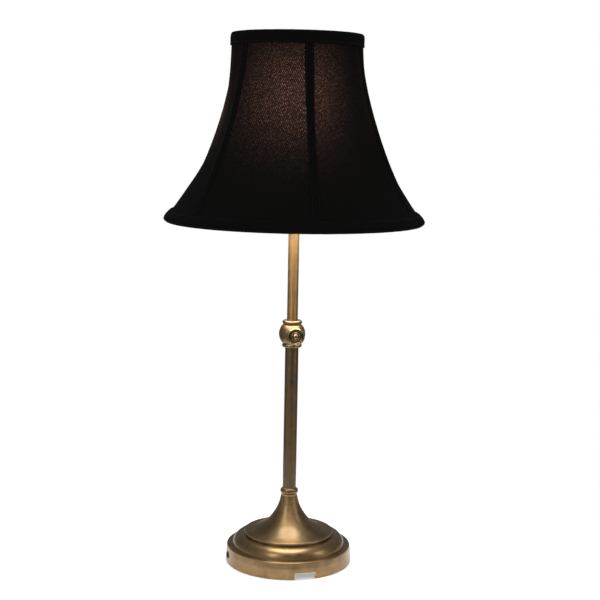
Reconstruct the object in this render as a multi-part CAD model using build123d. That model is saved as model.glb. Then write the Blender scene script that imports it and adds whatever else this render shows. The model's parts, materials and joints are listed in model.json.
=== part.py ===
from build123d import *
import os
from math import asin, cos, pi, radians, sin

# Telescoping table lamp: a stepped brass base, a column whose upper rod slides in the lower tube
# and is locked by a knob on a ball clamp, a harp, a bulb holder and a six-panel bell shade.
# Millimetres. The origin is on the lamp's axis at the foot of the base, +Z up. The notch in the
# rim faces -Y and the cord outlet faces -X.

# ---- base ----
RIM_RADIUS = 75.2
RIM_TOP_RADIUS = 74.4
RIM_TOP = 20.5
SHELL_WALL = 1.5
HEM_RADIUS = 70.5
HEM_THICKNESS = 1.5
OVOLO_OUTER = 67.5
OVOLO_INNER = 54.0
OVOLO_TOP = 32.4
SEAT_TOP = 31.2
NOTCH_WIDTH = 25.0
NOTCH_HEIGHT = 7.8
OUTLET_HEIGHT = 10.5
OUTLET_HOLE = 3.6
OUTLET_BORE = 2.9
OUTLET_FLANGE = 4.2

WEIGHT_BOTTOM = 9.0
WEIGHT_RADIUS = 70.0
WEIGHT_BOSS = 51.0
WEIGHT_STEP = 18.9
CHANNEL_WIDTH = 9.2
CHANNEL_TOP = 15.5
COUNTERBORE_RADIUS = 17.0
COUNTERBORE_TOP = 14.0
FELT_RADIUS = 69.5
FELT_BOTTOM = 8.0

PIPE_RADIUS = 4.8
PIPE_BORE = 3.2
PIPE_CLEARANCE_HOLE = 5.0
NUT_FLATS = 14.0

# ---- column ----
LIP_RADIUS = 53.5
LIP_TOP = 36.2
LIP_BOTTOM = 34.4
TRUMPET_TOP = 81.0
BEAD_RADIUS = 10.66
BEAD_TOP = 89.4
TUBE_RADIUS = 7.95
TUBE_BORE = 6.75
TUBE_BOTTOM = 76.0
TUBE_TOP = 268.0
PLUG_TOP = 88.0
ROD_RADIUS = 6.4
ROD_BORE = 5.4
ROD_TOP = 420.0
RUNNING_GAP = 0.05
FACE_GAP = 0.1

SLIDER_BOTTOM = 190.0
SLIDER_TOP = 208.0
STEM_RADIUS = 4.6
STEM_FLANGE = 6.2
GUIDE_BOTTOM = 250.0

# ---- clamp ----
BALL_CENTRE = 277.5
BALL_RADIUS = 15.6
BALL_FLAT = 10.5
COLLAR_NECK = 10.4
COLLAR_RADIUS = 11.7
COLLAR_HEIGHT = 5.6
HEAD_TURN = -6.3           # degrees from -Y towards -X: the knob and the first shade rib
PAD_RADIUS = 4.0
PAD_BACK = 11.0
PAD_BORE_END = 12.9
SCREW_RADIUS = 2.5
BOSS_RADIUS = 5.2
BOSS_END = 16.9
KNOB_BACK = 17.5
KNOB_RADIUS = 10.9
KNOB_FACE = 26.0

# ---- bulb holder and harp ----
SADDLE_BOTTOM = 424.0
SADDLE_THICKNESS = 1.5
PRONG_REACH = 24.5
PRONG_RADIUS = 2.6
PRONG_TOP = 431.0
HARP_WIRE = 1.6
SLEEVE_TOP = 444.0
HARP_STRAIGHT = 470.0
HARP_REACH = 55.0
HARP_CREST = 596.6
BOLT_FLANGE_TOP = 599.9
BOLT_RADIUS = 3.2
BOLT_TOP = 612.0
CAP_RADIUS = 19.4
SHELL_RADIUS = 18.5
SHELL_BOTTOM = 443.0
SHELL_TOP = 486.0
LINER_RADIUS = 17.7
CORE_RADIUS = 16.5
CORE_BOTTOM = 441.0
CORE_TOP = 459.0
KEY_HEIGHT = 450.0
KEY_STEM = 1.9
SCREW_SHELL_RADIUS = 13.95
BULB_CAP_RADIUS = 13.2
BULB_TIP = 461.1
BULB_CENTRE = 544.5
BULB_RADIUS = 30.0

# ---- shade ----
PANEL_COUNT = 6
PANEL_ANGLE = 360 / PANEL_COUNT
RIB_START = (75.2, 624.0)
RIB_START_LEAN = 2.5
RIB_ARCS = ((270.0, 13.5), (560.0, 28.5), (130.0, 42.0))   # radius, lean at the lower end
PANEL_SAG = 0.12
CLOTH = 1.0
LINING = 0.6
TAPE_WIDTH = 10.5
TAPE = 0.7
CLOTH_TOP = 624.6
CLOTH_BOTTOM = 412.8
TOP_TRIM_FOOT = 611.8
BOTTOM_TRIM_HEAD = 423.0
RING_WIRE = 1.5
RING_GAP = 0.35
RIB_WIRE = 1.2
RIB_GAP = 0.4
TOP_RING = 622.5
BOTTOM_RING = 415.2
HUB_BOTTOM = 600.0
HUB_RADIUS = 11.0
HUB_THICKNESS = 1.6
ARM_COUNT = 3


# ---- helpers ----

def at(radius, height):
    """A point in the XZ half plane."""
    return Vector(radius, 0, height)


def turned(start, *steps):
    """Revolve a closed outline about Z. A step is a corner (r, z), or an arc as a pair of
    points: one on the arc and its end."""
    edges = []
    here = start
    for step in steps + (start,):
        if isinstance(step[0], tuple):
            middle, end = step
            edges.append(ThreePointArc(at(*here), at(*middle), at(*end)))
        else:
            end = step
            edges.append(Line(at(*here), at(*end)))
        here = end
    return revolve(make_face(edges), Axis.Z)


def dome(rim, top):
    """An arc step for turned: from the rim point over to the axis at a height."""
    radius, height = rim
    rise = top - height
    ball = (radius ** 2 + rise ** 2) / (2 * rise)
    centre = top - ball
    half = asin(radius / abs(ball)) / 2
    return ((abs(ball) * sin(half), centre + ball * cos(half)), (0, top))


def post(radius, bottom, top):
    """A solid cylinder on the Z axis."""
    return Pos(0, 0, (bottom + top) / 2) * Cylinder(radius, top - bottom)


def tube(outer, inner, bottom, top):
    """A plain ring on the Z axis."""
    return post(outer, bottom, top) - post(inner, bottom, top)


def block(x_range, y_range, z_range):
    """A box between two limits on each axis."""
    ranges = (x_range, y_range, z_range)
    centre = [(low + high) / 2 for low, high in ranges]
    size = [high - low for low, high in ranges]
    return Pos(*centre) * Box(*size)


def radial(azimuth, height):
    """A frame whose Z axis points away from the lamp's axis; azimuth 0 is -Y, 90 is +X."""
    outward = Vector(sin(radians(azimuth)), -cos(radians(azimuth)), 0)
    return Plane(origin=(0, 0, height), x_dir=(0, 0, 1), z_dir=outward)


def wire_along(path, radius):
    """A round wire along a path of lines and arcs."""
    start = path @ 0
    section = Plane(origin=start, z_dir=path % 0) * Circle(radius)
    return sweep(section, path=path)


def polar_copies(shape, count, first=0.0):
    """Copies of a shape turned about Z in equal steps, kept as separate solids."""
    step = 360 / count
    solids = []
    for index in range(count):
        solids.extend((Rot(0, 0, first + index * step) * shape).solids())
    return Compound(children=solids)


# ---- the shade's rib line ----

def rib_arcs():
    """The rib line as tangent arcs: centre, radius and the heights where each one ends."""
    arcs = []
    radius, height = RIB_START
    lean = radians(RIB_START_LEAN)
    for bend, end_lean in RIB_ARCS:
        centre = (radius + bend * cos(lean), height + bend * sin(lean))
        lean = radians(end_lean)
        radius = centre[0] - bend * cos(lean)
        height = centre[1] - bend * sin(lean)
        arcs.append((centre, bend, height))
    return arcs


ARCS = rib_arcs()


def rib_lean(height):
    """The rib's lean from the vertical and its arc at a height."""
    for centre, bend, foot in ARCS:
        if height >= foot:
            break
    return asin((centre[1] - height) / bend), centre, bend


def rib_radius(height):
    lean, centre, bend = rib_lean(height)
    return centre[0] - bend * cos(lean)


def off_rib(height, outward):
    """The point (r, z) that stands off the rib line at right angles to it."""
    lean, centre, bend = rib_lean(height)
    reach = bend - outward
    return (centre[0] - reach * cos(lean), centre[1] - reach * sin(lean))


def sag(height):
    """How far a panel's middle is drawn in, as a share of the rib's radius."""
    share = (CLOTH_TOP - height) / (CLOTH_TOP - CLOTH_BOTTOM)
    return PANEL_SAG * sin(pi * share) ** 2


def panel_arc(height, inset):
    """One panel's level line from rib to rib, moved towards the axis by inset."""
    lean = rib_lean(height)[0]
    radius = rib_radius(height)
    shift = inset / cos(lean)
    ends = radius - shift
    middle = radius * (1 - sag(height)) - shift
    half = radians(PANEL_ANGLE / 2)
    return ThreePointArc(
        (ends * cos(half), -ends * sin(half), height),
        (middle, 0, height),
        (ends * cos(half), ends * sin(half), height))


def heights(top, bottom, count):
    return [top + (bottom - top) * index / (count - 1) for index in range(count)]


def gore(outer_inset, thickness, top, bottom):
    """One curved panel between two ribs, centred on +X."""
    faces = []
    for height in heights(top, bottom, 12):
        outer = panel_arc(height, outer_inset)
        inner = panel_arc(height, outer_inset + thickness)
        sides = [Line(outer @ 0, inner @ 0), Line(outer @ 1, inner @ 1)]
        faces.append(make_face([outer, inner] + sides))
    return loft(faces)


def tape_section(height):
    """The tape's level section, folded over the rib on +X."""
    arc = Rot(0, 0, PANEL_ANGLE / 2) * panel_arc(height, 0)
    share = TAPE_WIDTH / 2 / arc.length
    ridge = arc @ 0
    edge = arc @ share
    along = (edge - ridge).normalized()
    away = Vector(along.Y, -along.X, 0)
    lift = 0.14
    ridge_shift = lift / away.X
    crown_shift = (lift + TAPE) / away.X
    inner_edge = edge + away * lift
    outer_edge = edge + away * (lift + TAPE)
    inner_ridge = ridge + Vector(ridge_shift, 0, 0)
    outer_ridge = ridge + Vector(crown_shift, 0, 0)
    corners = [inner_edge, inner_ridge, flipped(inner_edge),
               flipped(outer_edge), outer_ridge, outer_edge]
    return make_face(Polyline(*corners, close=True))


def flipped(point):
    return Vector(point.X, -point.Y, point.Z)


# ---- base ----

def base_shell():
    wall = SHELL_WALL
    shell = turned(
        (HEM_RADIUS, 0), (RIM_RADIUS, 0), (RIM_RADIUS, 13), (RIM_TOP_RADIUS, RIM_TOP - 1.6),
        ((RIM_TOP_RADIUS - 0.4, RIM_TOP - 0.4), (RIM_TOP_RADIUS - 1.6, RIM_TOP)),
        (OVOLO_OUTER, RIM_TOP),
        ((OVOLO_OUTER - 3.6, RIM_TOP + 8.2), (OVOLO_INNER, OVOLO_TOP)),
        (OVOLO_INNER - 0.5, SEAT_TOP), (PIPE_CLEARANCE_HOLE, SEAT_TOP),
        (PIPE_CLEARANCE_HOLE, SEAT_TOP - wall), (OVOLO_INNER - 0.4, SEAT_TOP - wall),
        ((OVOLO_OUTER - 5.1, RIM_TOP + 7.0), (OVOLO_OUTER - wall, RIM_TOP - wall)),
        (RIM_TOP_RADIUS - wall, RIM_TOP - wall), (RIM_RADIUS - wall, 13),
        (RIM_RADIUS - wall, HEM_THICKNESS), (HEM_RADIUS, HEM_THICKNESS))
    half = NOTCH_WIDTH / 2
    notch = block((-half, half), (-RIM_RADIUS - 5, -HEM_RADIUS + 5), (-1, NOTCH_HEIGHT))
    outlet = radial(-90, OUTLET_HEIGHT) * post(OUTLET_HOLE, HEM_RADIUS, RIM_RADIUS + 2)
    return shell - notch - outlet


def base_weight():
    weight = turned(
        (PIPE_CLEARANCE_HOLE, WEIGHT_BOTTOM), (WEIGHT_RADIUS, WEIGHT_BOTTOM),
        (WEIGHT_RADIUS, WEIGHT_STEP), (WEIGHT_BOSS, WEIGHT_STEP),
        (WEIGHT_BOSS, SEAT_TOP - SHELL_WALL), (PIPE_CLEARANCE_HOLE, SEAT_TOP - SHELL_WALL))
    half = CHANNEL_WIDTH / 2
    channel = block((-WEIGHT_RADIUS - 1, 0), (-half, half), (WEIGHT_BOTTOM - 1, CHANNEL_TOP))
    pocket = post(COUNTERBORE_RADIUS, WEIGHT_BOTTOM - 1, COUNTERBORE_TOP)
    return weight - channel - pocket


def base_felt():
    return post(FELT_RADIUS, FELT_BOTTOM, WEIGHT_BOTTOM)


def base_nipple():
    return tube(PIPE_RADIUS, PIPE_BORE, WEIGHT_BOTTOM + 0.3, PLUG_TOP - 2)


def base_washer():
    return tube(COUNTERBORE_RADIUS - 2, PIPE_CLEARANCE_HOLE, COUNTERBORE_TOP - 1.5,
                COUNTERBORE_TOP)


def base_nut():
    foot = WEIGHT_BOTTOM + 0.2
    blank = extrude(RegularPolygon(NUT_FLATS / 2, 6, major_radius=False),
                    COUNTERBORE_TOP - 1.5 - foot)
    return Pos(0, 0, foot) * blank - post(PIPE_RADIUS, 0, 40)


def cord_bushing():
    outer_face = RIM_RADIUS + 0.9
    inner_face = RIM_RADIUS - 4.2
    bushing = turned(
        (OUTLET_BORE, inner_face), (OUTLET_FLANGE, inner_face),
        (OUTLET_FLANGE, inner_face + 1.2), (OUTLET_HOLE, inner_face + 1.2),
        (OUTLET_HOLE, RIM_RADIUS), (OUTLET_FLANGE, RIM_RADIUS),
        ((OUTLET_FLANGE - 0.2, outer_face - 0.2), (OUTLET_FLANGE - 0.7, outer_face)),
        (OUTLET_BORE, outer_face))
    return radial(-90, OUTLET_HEIGHT) * bushing


def trumpet():
    outer = Spline(at(9.5, TRUMPET_TOP), at(12.9, 68.4), at(19.9, 55.9), at(30, 45.2),
                   at(41, 39.0), at(LIP_RADIUS - 2, LIP_TOP),
                   tangents=(Vector(0.22, 0, -1), Vector(1, 0, -0.16)))
    lip = ThreePointArc(outer @ 1, at(LIP_RADIUS, (LIP_TOP + LIP_BOTTOM) / 2),
                        at(LIP_RADIUS - 1, LIP_BOTTOM))
    foot = Polyline(lip @ 1, at(52.2, LIP_BOTTOM), at(52.2, SEAT_TOP), at(50.4, SEAT_TOP),
                    at(50.4, LIP_BOTTOM + 0.4))
    inner = Spline(foot @ 1, at(40.5, 37.7), at(29.2, 44.1), at(18.9, 55.1), at(12.0, 67),
                   at(9.4, TUBE_BOTTOM - 3), tangents=(Vector(-1, 0, 0.16), Vector(-0.25, 0, 1)))
    collar = Polyline(inner @ 1, at(TUBE_RADIUS, TUBE_BOTTOM - 3), at(TUBE_RADIUS, TRUMPET_TOP),
                      outer @ 0)
    return revolve(make_face([outer, lip, foot, inner, collar]), Axis.Z)


def neck_bead():
    bore = TUBE_RADIUS
    return turned(
        (bore, TRUMPET_TOP), (9.3, TRUMPET_TOP), (9.3, TRUMPET_TOP + 1.2),
        ((BEAD_RADIUS, TRUMPET_TOP + 4.7), (9.2, BEAD_TOP - 0.6)), (bore, BEAD_TOP))


def tube_plug():
    flange = tube(TUBE_RADIUS, PIPE_RADIUS, TUBE_BOTTOM - 2.8, TUBE_BOTTOM)
    return flange + tube(TUBE_BORE, PIPE_RADIUS, TUBE_BOTTOM, PLUG_TOP)


def lower_tube():
    return tube(TUBE_RADIUS, TUBE_BORE, TUBE_BOTTOM, TUBE_TOP)


# ---- clamp ----

def collar(bore, ball_face, direction):
    """A bead ring beside the ball; direction is 1 above it and -1 below."""
    neck_end = ball_face + direction * 1.3
    middle = ball_face + direction * (COLLAR_HEIGHT / 2 + 0.8)
    far = ball_face + direction * COLLAR_HEIGHT
    return turned(
        (bore, ball_face), (COLLAR_NECK, ball_face), (COLLAR_NECK, neck_end),
        ((COLLAR_RADIUS, middle), (COLLAR_NECK - 0.3, far)), (bore, far))


def lower_collar():
    return collar(TUBE_RADIUS, BALL_CENTRE - BALL_FLAT, -1)


def upper_collar():
    return collar(ROD_RADIUS + RUNNING_GAP, BALL_CENTRE + BALL_FLAT, 1)


def knob_side(shape):
    """Place a shape made along Z on the clamp screw's axis."""
    return radial(HEAD_TURN, BALL_CENTRE) * shape


def clamp_ball():
    low, high = BALL_CENTRE - BALL_FLAT, BALL_CENTRE + BALL_FLAT
    ball = Pos(0, 0, BALL_CENTRE) * Sphere(BALL_RADIUS) & post(BALL_RADIUS + 1, low, high)
    ball += knob_side(post(BOSS_RADIUS, 12, BOSS_END))
    ball -= post(TUBE_RADIUS, low - 1, TUBE_TOP)
    ball -= post(ROD_RADIUS + 2 * RUNNING_GAP, low, high + 1)
    ball -= knob_side(post(PAD_RADIUS + RUNNING_GAP, 0, PAD_BORE_END))
    return ball - knob_side(post(SCREW_RADIUS + RUNNING_GAP, 0, BOSS_END + 1))


def guide_bush():
    return tube(TUBE_BORE, ROD_RADIUS + RUNNING_GAP, GUIDE_BOTTOM, TUBE_TOP)


def clamp_pad():
    pad = knob_side(post(PAD_RADIUS, 3, PAD_BACK))
    return pad - post(ROD_RADIUS + RUNNING_GAP, BALL_CENTRE - 10, BALL_CENTRE + 10)


def clamp_screw():
    return knob_side(post(SCREW_RADIUS, PAD_BACK + RUNNING_GAP, KNOB_FACE - 4))


def clamp_knob():
    knob = turned(
        (0, KNOB_BACK), (4.6, KNOB_BACK), (4.6, KNOB_BACK + 2.6), (9.4, KNOB_BACK + 3.2),
        ((KNOB_RADIUS, KNOB_FACE - 2.9), (9.9, KNOB_FACE - 0.5)),
        ((9.3, KNOB_FACE), (8.6, KNOB_FACE - 0.5)),
        ((7.3, KNOB_FACE - 2.0), (5.6, KNOB_FACE - 2.3)),
        (5.3, KNOB_FACE - 1.1), ((4.6, KNOB_FACE - 0.8), (3.7, KNOB_FACE - 1.2)),
        (3.4, KNOB_FACE - 0.8), dome((3.4, KNOB_FACE - 0.8), KNOB_FACE + 1.0))
    return knob_side(knob - post(SCREW_RADIUS, 0, KNOB_FACE - 4))


# ---- sliding rod ----

def slider_bush():
    return tube(TUBE_BORE - RUNNING_GAP, STEM_RADIUS + RUNNING_GAP, SLIDER_BOTTOM, SLIDER_TOP)


def rod_foot():
    flange_top = SLIDER_BOTTOM - FACE_GAP
    foot = post(STEM_FLANGE, flange_top - 2.4, flange_top)
    foot += post(STEM_RADIUS, flange_top - 1, SLIDER_TOP + FACE_GAP)
    foot += post(ROD_BORE, SLIDER_TOP + FACE_GAP, SLIDER_TOP + 12)
    return foot - post(PIPE_BORE - 0.2, 0, ROD_TOP)


def upper_rod():
    return tube(ROD_RADIUS, ROD_BORE, SLIDER_TOP + FACE_GAP, ROD_TOP)


def rod_cap():
    cap = turned(
        (PIPE_RADIUS, ROD_TOP - 8), (ROD_BORE, ROD_TOP - 8), (ROD_BORE, ROD_TOP),
        (7.2, ROD_TOP), ((9.0, ROD_TOP + 2), (7.2, SADDLE_BOTTOM)),
        (PIPE_RADIUS, SADDLE_BOTTOM))
    return cap


# ---- harp ----

def socket_nipple():
    return tube(PIPE_RADIUS, PIPE_BORE, ROD_TOP - 8, CORE_BOTTOM - 5)


def harp_saddle():
    top = SADDLE_BOTTOM + SADDLE_THICKNESS
    plate = extrude(SlotCenterToCenter(2 * PRONG_REACH, 11), SADDLE_THICKNESS)
    saddle = Pos(0, 0, SADDLE_BOTTOM) * plate
    for side in (-1, 1):
        saddle += Pos(side * PRONG_REACH, 0, 0) * post(PRONG_RADIUS, top - 0.5, PRONG_TOP)
    return saddle - post(PIPE_RADIUS, 400, 440)


def harp_path():
    right = [(PRONG_REACH, PRONG_TOP), (PRONG_REACH, HARP_STRAIGHT), (HARP_REACH, 505),
             (HARP_REACH, 555), (20, HARP_CREST)]
    left = [(-reach, height) for reach, height in reversed(right)]
    points = [at(*point) for point in right + left]
    bends = [26, 30, 38, 16]
    return FilletPolyline(*points, radius=bends + bends[::-1])


def harp():
    return wire_along(harp_path(), HARP_WIRE)


def harp_sleeve(side):
    bottom = SADDLE_BOTTOM + SADDLE_THICKNESS + 0.1
    sleeve = turned(
        (PRONG_RADIUS + RUNNING_GAP, bottom), (3.9, bottom), (3.9, bottom + 3),
        (3.5, bottom + 4), (3.5, SLEEVE_TOP - 1.5),
        ((3.1, SLEEVE_TOP - 0.4), (2.2, SLEEVE_TOP)),
        (HARP_WIRE + RUNNING_GAP, SLEEVE_TOP), (HARP_WIRE + RUNNING_GAP, PRONG_TOP + 0.6),
        (PRONG_RADIUS + RUNNING_GAP, PRONG_TOP + 0.4))
    return Pos(side * PRONG_REACH, 0, 0) * sleeve


def harp_bolt(wire):
    bolt = turned(
        (0, HARP_CREST - 3), (4.5, HARP_CREST - 3), (4.5, HARP_CREST + 1.4),
        (9.0, HARP_CREST + 2), (9.0, BOLT_FLANGE_TOP), (BOLT_RADIUS, BOLT_FLANGE_TOP),
        (BOLT_RADIUS, BOLT_TOP - 0.6), (BOLT_RADIUS - 0.6, BOLT_TOP), (0, BOLT_TOP))
    return bolt - wire


def finial():
    foot = HUB_BOTTOM + HUB_THICKNESS + FACE_GAP
    knob = turned(
        (0, foot), (6.5, foot), (6.5, foot + 1.6), ((4.6, foot + 4.5), (4.6, foot + 7.5)),
        ((7.2, foot + 13.5), (3.0, foot + 19.0)), dome((3.0, foot + 19.0), foot + 22.0))
    return knob - post(BOLT_RADIUS + RUNNING_GAP, foot - 1, BOLT_TOP + 1)


# ---- socket ----

def socket_cap():
    cap = turned(
        (PIPE_RADIUS, 425.5), (7.6, 425.5), (7.6, 432), ((12.0, 436.4), (17.6, 438.6)),
        ((19.0, 439.6), (CAP_RADIUS, 441.4)), (CAP_RADIUS, 447), (CAP_RADIUS - 0.8, 447),
        (CAP_RADIUS - 0.8, 441.6), (CAP_RADIUS - 2.2, 439.6), ((11.6, 437.4), (6.6, 433.2)),
        (PIPE_RADIUS, 433.2))
    return cap - set_screw_hole()


def set_screw_hole():
    return radial(180, 429) * post(1.4, 0, 12)


def set_screw():
    screw = post(1.4, PIPE_RADIUS + 0.1, 8.0) + post(2.4, 8.0, 9.6)
    slot = block((-0.35, 0.35), (-3, 3), (8.8, 10))
    return radial(180, 429) * (screw - slot)


def key_bore(radius):
    return radial(0, KEY_HEIGHT) * post(radius, 5, 24)


def socket_shell():
    wall = 0.7
    shell = turned(
        (SHELL_RADIUS - wall, SHELL_BOTTOM), (SHELL_RADIUS, SHELL_BOTTOM),
        (SHELL_RADIUS, SHELL_TOP - 2.5), ((SHELL_RADIUS + 0.8, SHELL_TOP - 1.2),
                                          (SHELL_RADIUS, SHELL_TOP)),
        (SHELL_RADIUS - wall, SHELL_TOP))
    return shell - key_bore(2.6)


def socket_liner():
    liner = tube(LINER_RADIUS, LINER_RADIUS - 0.8, SHELL_BOTTOM + 1, SHELL_TOP - 1)
    return liner - key_bore(2.6)


def socket_core():
    core = post(CORE_RADIUS, CORE_BOTTOM, CORE_TOP)
    for side in (-1, 1):
        core -= Pos(side * 16.5, 0, 449) * Box(6, 9, 10)
    core -= post(7, CORE_BOTTOM - 1, CORE_BOTTOM + 3)
    return core - key_bore(KEY_STEM + RUNNING_GAP) - terminal_screws()


def terminal_screws():
    screw = post(1.3, 9, 13.5) + post(3.0, 13.5, 15.5)
    slot = block((-0.4, 0.4), (-4, 4), (14.7, 16))
    return Compound(children=[radial(side, 449) * (screw - slot) for side in (-90, 90)])


def screw_shell():
    floor = CORE_TOP + 0.8
    cup = tube(SCREW_SHELL_RADIUS, BULB_CAP_RADIUS + RUNNING_GAP, CORE_TOP, SHELL_TOP - 2)
    return cup + tube(SCREW_SHELL_RADIUS, 5, CORE_TOP, floor)


def centre_contact():
    rim = (4, CORE_TOP + 0.8)
    return turned((0, CORE_TOP), (4, CORE_TOP), rim, dome(rim, CORE_TOP + 2))


def switch_key():
    stem = post(KEY_STEM, 6, 24)
    paddle = Pos(0, 0, 29) * Rot(0, 90, 0) * extrude(SlotOverall(16, 10), 1.7, both=True)
    paddle &= block((-20, 20), (-20, 20), (20, 36))
    collar_ring = post(3.0, 20.5, 23)
    return radial(0, KEY_HEIGHT) * Rot(0, 0, 90) * (stem + collar_ring + paddle)


# ---- bulb ----

def bulb_contact():
    rim = (4.6, BULB_TIP + 1.9)
    return turned((0, BULB_TIP + 1.9), rim, dome(rim, BULB_TIP))


def bulb_insulator():
    return turned((0, BULB_TIP + 1.9), (4.6, BULB_TIP + 1.9), (12.4, BULB_TIP + 5.9),
                  (12.4, BULB_TIP + 7), (0, BULB_TIP + 7))


def bulb_cap():
    low = BULB_TIP + 5.9
    return turned(
        (12.4, low), (BULB_CAP_RADIUS, low + 0.8), (BULB_CAP_RADIUS, low + 22),
        (BULB_CAP_RADIUS - 0.5, low + 22), (BULB_CAP_RADIUS - 0.5, low + 1.1), (12.4, low + 1.1))


def bulb_glass():
    wall = 0.8
    neck = BULB_TIP + 27.9
    edge = sin(radians(50)) * BULB_RADIUS
    drop = cos(radians(50)) * BULB_RADIUS
    inner = BULB_RADIUS - wall
    inner_edge = sin(radians(50)) * inner
    inner_drop = cos(radians(50)) * inner
    return turned(
        (0, BULB_CENTRE + BULB_RADIUS),
        ((BULB_RADIUS, BULB_CENTRE), (edge, BULB_CENTRE - drop)),
        ((16.2, neck + 19), (13.0, neck)), (12.6, neck), (12.6, neck - 12),
        (12.6 - wall, neck - 12), (12.6 - wall, neck),
        ((16.2 - wall, neck + 19.2), (inner_edge, BULB_CENTRE - inner_drop)),
        ((inner, BULB_CENTRE), (0, BULB_CENTRE + inner)))


def bulb_mount():
    return turned((0, 478), (9.5, 478), (9.5, 479.5), ((4.2, 486), (3.0, 500)),
                  (3.0, 514), dome((3.0, 514), 516))


def lead_path(side):
    return FilletPolyline(at(side * 1.8, 508), at(side * 1.8, 522), at(side * 11, 547),
                          radius=6)


def bulb_leads():
    leads = [wire_along(lead_path(side), 0.5) - bulb_mount() for side in (-1, 1)]
    return Compound(children=[solid for lead in leads for solid in lead.solids()])


def bulb_filament():
    arch = wire_along(ThreePointArc(at(-11, 547.6), at(0, 553), at(11, 547.6)), 0.7)
    return arch - bulb_leads()


# ---- shade ----

def level_ring(height, wire):
    """A wire ring just inside the cloth."""
    radius, level = off_rib(height, -(CLOTH + RING_GAP + wire))
    return Pos(0, 0, level) * Torus(radius, wire)


def shade_top_ring():
    return level_ring(TOP_RING, RING_WIRE)


def shade_bottom_ring():
    return level_ring(BOTTOM_RING, RING_WIRE)


def shade_ribs(rings):
    inward = -(CLOTH + RIB_GAP + RIB_WIRE)
    breaks = [TOP_RING - 1, ARCS[0][2], ARCS[1][2], BOTTOM_RING + 0.8]
    edges = []
    for top, foot in zip(breaks, breaks[1:]):
        levels = (top, (top + foot) / 2, foot)
        edges.append(ThreePointArc(*[at(*off_rib(level, inward)) for level in levels]))
    rib = wire_along(Wire(edges), RIB_WIRE)
    for ring in rings:
        rib -= ring
    return polar_copies(rib, PANEL_COUNT, HEAD_TURN - 90)


def spider_hub():
    return tube(HUB_RADIUS, BOLT_RADIUS + RUNNING_GAP, HUB_BOTTOM, HUB_BOTTOM + HUB_THICKNESS)


def spider_arms(top_ring):
    level = HUB_BOTTOM + HUB_THICKNESS + RING_WIRE
    path = FilletPolyline(at(7.5, level), at(24, level), at(72.2, TOP_RING - 0.3), radius=18)
    arm = wire_along(path, RING_WIRE) - top_ring
    arm &= block((0, 200), (-10, 10), (HUB_BOTTOM, 700))
    return polar_copies(arm, ARM_COUNT, HEAD_TURN - 90 + PANEL_ANGLE / 2)


def shade_panel(index):
    panel = gore(0, CLOTH, CLOTH_TOP, CLOTH_BOTTOM)
    return Rot(0, 0, HEAD_TURN - 90 + (index + 0.5) * PANEL_ANGLE) * panel


def shade_lining():
    inset = CLOTH + RIB_GAP + 2 * RIB_WIRE + 0.15
    panel = gore(inset, LINING, TOP_RING - 3, BOTTOM_RING + 4)
    return polar_copies(panel, PANEL_COUNT, HEAD_TURN - 90 + PANEL_ANGLE / 2)


def shade_tapes():
    levels = heights(TOP_TRIM_FOOT - 0.2, BOTTOM_TRIM_HEAD + 1.2, 12)
    tape = loft([tape_section(height) for height in levels])
    return polar_copies(tape, PANEL_COUNT, HEAD_TURN - 90)


def shade_trim_top(arms):
    cloth_foot = rib_radius(TOP_TRIM_FOOT) + 0.1
    inner_leg = rib_radius(TOP_RING) - CLOTH - RING_GAP - 2 * RING_WIRE - 0.1
    head = CLOTH_TOP + 0.1
    trim = turned(
        (cloth_foot, TOP_TRIM_FOOT), (rib_radius(CLOTH_TOP) + 0.12, head), (inner_leg, head),
        (inner_leg, head - 4.9), (inner_leg - 0.8, head - 4.9), (inner_leg - 0.8, head + 0.4),
        ((73.0, 626.3), (75.4, head + 0.6)), ((77.1, 619), (cloth_foot + 0.8, TOP_TRIM_FOOT)))
    return trim - arms


def shade_trim_bottom():
    inner_leg = -(CLOTH + RING_GAP + 2 * RING_WIRE + 0.1)
    floor = CLOTH_BOTTOM - 0.15
    return turned(
        off_rib(BOTTOM_TRIM_HEAD, 0.1), (off_rib(418, 0.06), off_rib(floor, 0.1)),
        off_rib(floor, inner_leg), off_rib(417.6, inner_leg), off_rib(417.6, inner_leg - 0.8),
        off_rib(floor - 1.0, inner_leg - 0.8),
        (off_rib(floor - 1.9, -2), off_rib(floor - 1.2, 1.2)),
        (off_rib(417, 2.3), off_rib(BOTTOM_TRIM_HEAD + 0.4, 0.9)))


# ---- write every node ----

def nodes():
    """Every node's shape by name."""
    arch = harp()
    top_ring = shade_top_ring()
    bottom_ring = shade_bottom_ring()
    arms = spider_arms(top_ring)
    makers = (base_shell, base_weight, base_felt, base_nipple, base_washer, base_nut,
              cord_bushing, trumpet, neck_bead, tube_plug, lower_tube, lower_collar,
              clamp_ball, guide_bush, upper_collar, clamp_pad, clamp_screw, clamp_knob,
              slider_bush, rod_foot, upper_rod, rod_cap, socket_nipple, harp_saddle, finial,
              socket_cap, set_screw, socket_shell, socket_liner, socket_core,
              terminal_screws, screw_shell, centre_contact, switch_key, bulb_contact,
              bulb_insulator, bulb_cap, bulb_glass, bulb_mount, bulb_leads, bulb_filament,
              spider_hub, shade_lining, shade_tapes, shade_trim_bottom)
    made = {maker.__name__: maker() for maker in makers}
    made["harp"] = arch
    made["harp_sleeve_left"] = harp_sleeve(-1)
    made["harp_sleeve_right"] = harp_sleeve(1)
    made["harp_bolt"] = harp_bolt(arch)
    made["shade_top_ring"] = top_ring
    made["shade_bottom_ring"] = bottom_ring
    made["shade_ribs"] = shade_ribs((top_ring, bottom_ring))
    made["spider_arms"] = arms
    made["shade_trim_top"] = shade_trim_top(arms)
    for index in range(PANEL_COUNT):
        made[f"shade_panel_{index + 1}"] = shade_panel(index)
    return made


os.makedirs("parts", exist_ok=True)
for name, shape in nodes().items():
    export_step(shape, f"parts/{name}.step")
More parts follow.
